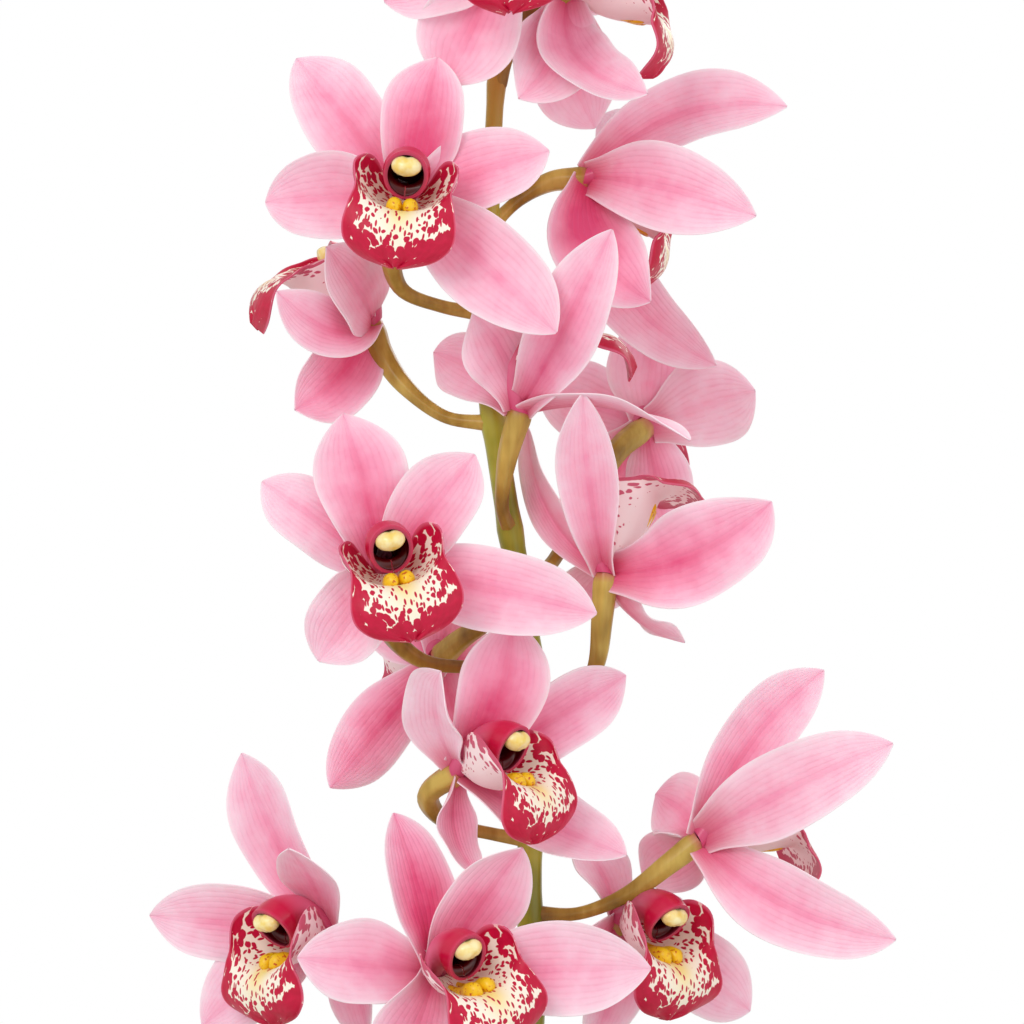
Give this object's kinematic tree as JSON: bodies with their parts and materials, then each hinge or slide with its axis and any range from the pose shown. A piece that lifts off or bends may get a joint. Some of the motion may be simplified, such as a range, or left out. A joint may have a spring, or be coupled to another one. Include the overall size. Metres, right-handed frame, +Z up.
{
  "type": "potted orchid",
  "caption": "Potted cymbidium orchid: plain glazed pot of bark mix, pseudobulbs with arching strap leaves, and one tall spike of pink flowers with crimson lips.",
  "frame": {"origin": "centre of the pot's underside", "axes": "+Z up the flower spike; -Y towards the front, where most flowers face; +X to the right seen from the front"},
  "size_m": [0.4222, 0.439, 0.8723],
  "materials": {
    "glazed_pot": "gloss",
    "bark_mix": "matte",
    "green_stem": "satin",
    "dry_bract": "matte",
    "bulb_skin": "satin",
    "strap_leaf": "satin",
    "pink_tepal": "satin",
    "crimson_lip": "satin"
  },
  "bodies": {
    "root": {"pot": "glazed_pot", "potting_mix": "bark_mix", "flower_stem": "green_stem", "pseudobulb_1": "bulb_skin", "pseudobulb_2": "bulb_skin", "pseudobulb_3": "bulb_skin", "back_bulb": "bulb_skin", "leaf_01": "strap_leaf", "leaf_02": "strap_leaf", "leaf_03": "strap_leaf", "leaf_04": "strap_leaf", "leaf_05": "strap_leaf", "leaf_06": "strap_leaf", "leaf_07": "strap_leaf", "leaf_08": "strap_leaf", "leaf_09": "strap_leaf", "leaf_10": "strap_leaf", "leaf_11": "strap_leaf", "leaf_12": "strap_leaf", "leaf_13": "strap_leaf", "leaf_14": "strap_leaf", "leaf_15": "strap_leaf", "leaf_16": "strap_leaf", "leaf_17": "strap_leaf", "leaf_18": "strap_leaf", "stem_bract_1": "dry_bract", "stem_bract_2": "dry_bract", "stem_bract_3": "dry_bract", "flower_01": "pink_tepal", "lip_01": "crimson_lip", "flower_02": "pink_tepal", "lip_02": "crimson_lip", "flower_03": "pink_tepal", "lip_03": "crimson_lip", "flower_04": "pink_tepal", "lip_04": "crimson_lip", "flower_05": "pink_tepal", "lip_05": "crimson_lip", "flower_06": "pink_tepal", "lip_06": "crimson_lip", "flower_07": "pink_tepal", "lip_07": "crimson_lip", "flower_08": "pink_tepal", "lip_08": "crimson_lip", "flower_09": "pink_tepal", "lip_09": "crimson_lip", "flower_10": "pink_tepal", "lip_10": "crimson_lip", "flower_11": "pink_tepal", "lip_11": "crimson_lip", "flower_12": "pink_tepal", "lip_12": "crimson_lip", "flower_13": "pink_tepal", "lip_13": "crimson_lip", "flower_14": "pink_tepal", "lip_14": "crimson_lip", "flower_15": "pink_tepal", "lip_15": "crimson_lip", "flower_16": "pink_tepal", "lip_16": "crimson_lip"}
  },
  "joints": []
}
